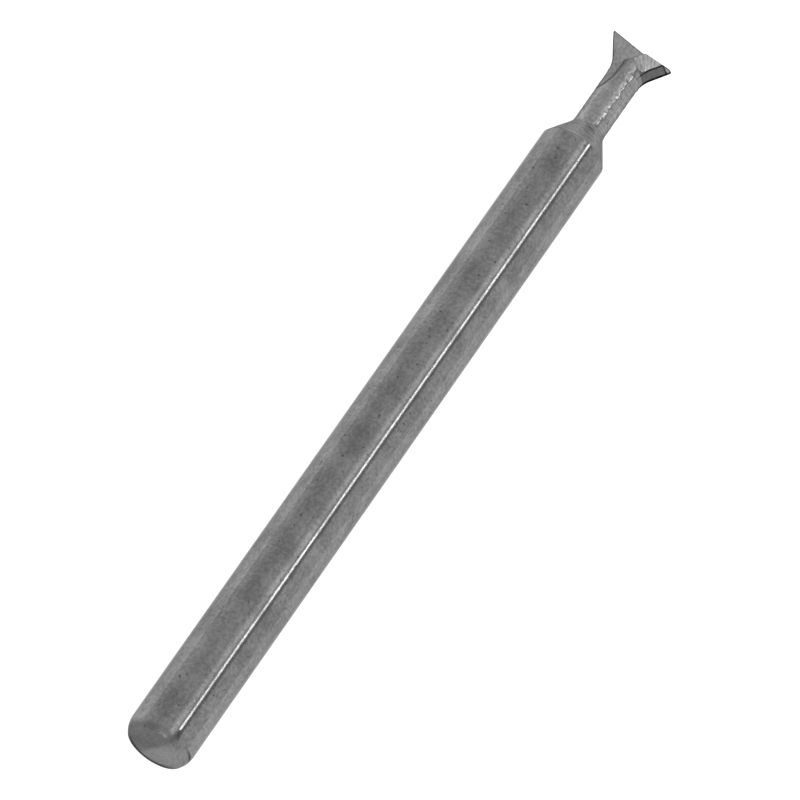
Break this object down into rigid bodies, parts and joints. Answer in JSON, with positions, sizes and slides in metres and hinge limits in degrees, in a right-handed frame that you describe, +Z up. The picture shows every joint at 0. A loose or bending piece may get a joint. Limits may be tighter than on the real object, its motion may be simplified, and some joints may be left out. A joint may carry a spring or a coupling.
{
  "type": "dovetail end mill",
  "caption": "Solid carbide dovetail end mill: a slim straight shank, a coned shoulder and thin neck, and a flared cutting head with flat rake faces.",
  "frame": {"origin": "middle of the shank's flat end face, on the tool's axis", "axes": "+X along the tool's axis from the shank's end to the cutting end, both cutting edges in the plane Z = 0, +Z up out of the rake face of the tooth on the +Y side"},
  "size_m": [0.04, 0.003, 0.003],
  "materials": {
    "ground_carbide": "ground tungsten carbide, uncoated, satin"
  },
  "bodies": {
    "root": {"end_mill": "ground_carbide"}
  },
  "joints": []
}
